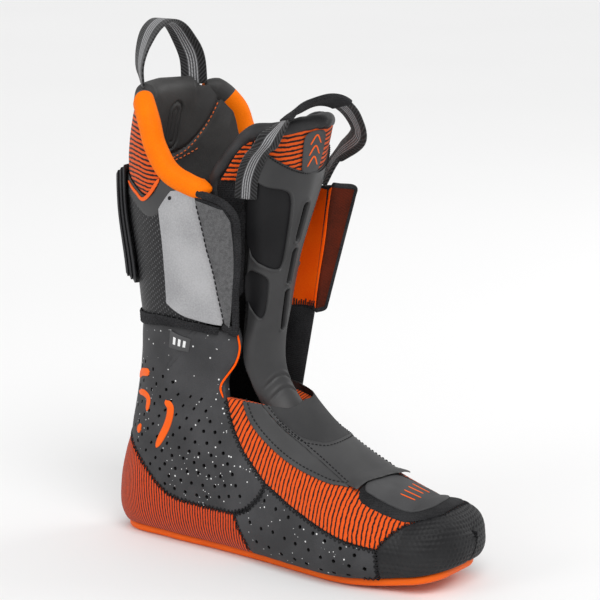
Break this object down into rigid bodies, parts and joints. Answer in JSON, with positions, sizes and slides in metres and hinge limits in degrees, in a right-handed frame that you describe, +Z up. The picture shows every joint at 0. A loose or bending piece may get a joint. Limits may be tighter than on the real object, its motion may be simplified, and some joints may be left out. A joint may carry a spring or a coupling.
{
  "type": "ski boot liner",
  "caption": "Padded inner boot for an alpine ski boot: foam and knit foot, padded cuff with closing wings, hinged tongue with moulded shield, pull loops.",
  "frame": {"origin": "on the underside of the sole, below the ankle", "axes": "+Z up, toe towards -Y, lateral side of the right foot towards -X"},
  "size_m": [0.1285, 0.2868, 0.3673],
  "materials": {
    "sole_rubber": "matt orange sole rim and black sole",
    "footbed": "brushed textile over foam",
    "orange_knit": "ribbed orange and black knit",
    "orange_textile": "fine orange weave on foam",
    "orange_lycra": "satin stretch fabric over foam",
    "toe_mesh": "dimpled black mesh",
    "speckled_foam": "perforated dark grey foam with white specks",
    "cuff_weave": "coarse woven look, slight sheen",
    "pad_leather": "embossed synthetic leather with orange stitching",
    "black_tape": "folded binding tape",
    "badge_plastic": "raised welded badge",
    "shim_foam": "foam covered in loop fabric",
    "inlay_orange": "smooth raised film",
    "overlay_grey": "smooth synthetic, satin",
    "tongue_textile": "black brushed textile over foam",
    "shield_plastic": "satin moulded plastic",
    "webbing": "herringbone webbing with pale centre stripes",
    "wing_textile": "light grey woven textile",
    "reflective_film": "silver reflective film"
  },
  "bodies": {
    "liner": {"sole_board": "sole_rubber", "insole": "footbed", "heel_wrap": "orange_textile", "toe_cap": "toe_mesh", "forefoot_foam_lateral": "speckled_foam", "forefoot_foam_medial": "speckled_foam", "vamp_knit": "orange_knit", "ankle_shell_lateral": "speckled_foam", "ankle_shell_medial": "speckled_foam", "collar_rim": "pad_leather", "collar_roll_lateral": "orange_lycra", "collar_roll_medial": "orange_lycra", "collar_knit": "orange_knit", "cuff_lateral": "cuff_weave", "cuff_medial": "cuff_weave", "cuff_hem_tape": "black_tape", "size_badge": "badge_plastic", "calf_pad_upper": "pad_leather", "calf_pad_lower": "pad_leather", "shim_hook_strip": "shim_foam", "inlay_dash_lateral": "inlay_orange", "inlay_dash_medial": "inlay_orange", "inlay_hook_lateral": "inlay_orange", "inlay_hook_medial": "inlay_orange", "inlay_dot_lateral": "inlay_orange", "inlay_dot_medial": "inlay_orange", "inlay_arc_lateral": "inlay_orange", "inlay_arc_medial": "inlay_orange", "vamp_overlay_lateral": "overlay_grey", "vamp_overlay_medial": "overlay_grey", "vamp_overlay_centre": "overlay_grey", "instep_panel": "overlay_grey", "toe_badge": "badge_plastic", "reflective_patch_cuff": "reflective_film", "lapel_medial": "cuff_weave", "lapel_lining_medial": "orange_textile", "ankle_lapel_medial": "speckled_foam", "throat_fold_lateral": "orange_knit"},
    "tongue": {"tongue_pad": "tongue_textile", "tongue_edge_roll": "black_tape", "tongue_shield": "shield_plastic", "tongue_knit_band": "orange_knit", "tongue_label": "badge_plastic", "tongue_flap_lateral": "tongue_textile", "tongue_flap_medial": "tongue_textile", "tongue_flap_roll_lateral": "black_tape", "tongue_flap_roll_medial": "black_tape", "shield_window_upper_lateral": "tongue_textile", "shield_window_upper_medial": "tongue_textile", "shield_window_lower_lateral": "tongue_textile", "shield_window_lower_medial": "tongue_textile"},
    "tongue_loop": {"tongue_pull_loop": "webbing", "tongue_loop_sleeve": "webbing"},
    "rear_loop": {"rear_pull_loop": "webbing"},
    "lateral_wing": {"wing_lateral": "wing_textile", "wing_binding_lateral": "black_tape", "reflective_patch_wing": "reflective_film"},
    "medial_wing": {"wing_medial": "orange_textile", "wing_binding_medial": "black_tape"},
    "shim": {"calf_shim": "shim_foam"}
  },
  "joints": [
    {"name": "tongue_fold", "type": "hinge", "parent": "liner", "child": "tongue", "pos_m": [0.002, -0.082, 0.108], "axis": [1, 0, 0], "range_deg": [0, 40], "stiffness_Nm_per_rad": 0.4, "deforming": ["tongue_flap_lateral", "tongue_flap_medial", "tongue_flap_roll_lateral", "tongue_flap_roll_medial"]},
    {"name": "tongue_loop_fold", "type": "hinge", "parent": "tongue", "child": "tongue_loop", "pos_m": [0, -0.058, 0.256], "axis": [1, 0, 0], "range_deg": [0, 55], "stiffness_Nm_per_rad": 0.12},
    {"name": "rear_loop_fold", "type": "hinge", "parent": "liner", "child": "rear_loop", "pos_m": [0, 0.036, 0.3245], "axis": [1, 0, 0], "range_deg": [-15, 15], "stiffness_Nm_per_rad": 0.12},
    {"name": "lateral_wing_fold", "type": "hinge", "parent": "liner", "child": "lateral_wing", "pos_m": [-0.0314, -0.0302, 0.163], "axis": [0.2345, -0.0767, -0.9691], "range_deg": [0, 80]},
    {"name": "medial_wing_fold", "type": "hinge", "parent": "liner", "child": "medial_wing", "pos_m": [0.041, -0.06, 0.166], "axis": [0.1236, -0.0787, 0.9892], "range_deg": [-60, 15]},
    {"name": "shim_pull_off", "type": "slide", "parent": "liner", "child": "shim", "axis": [0, 1, 0], "range_m": [0, 0.025]}
  ]
}
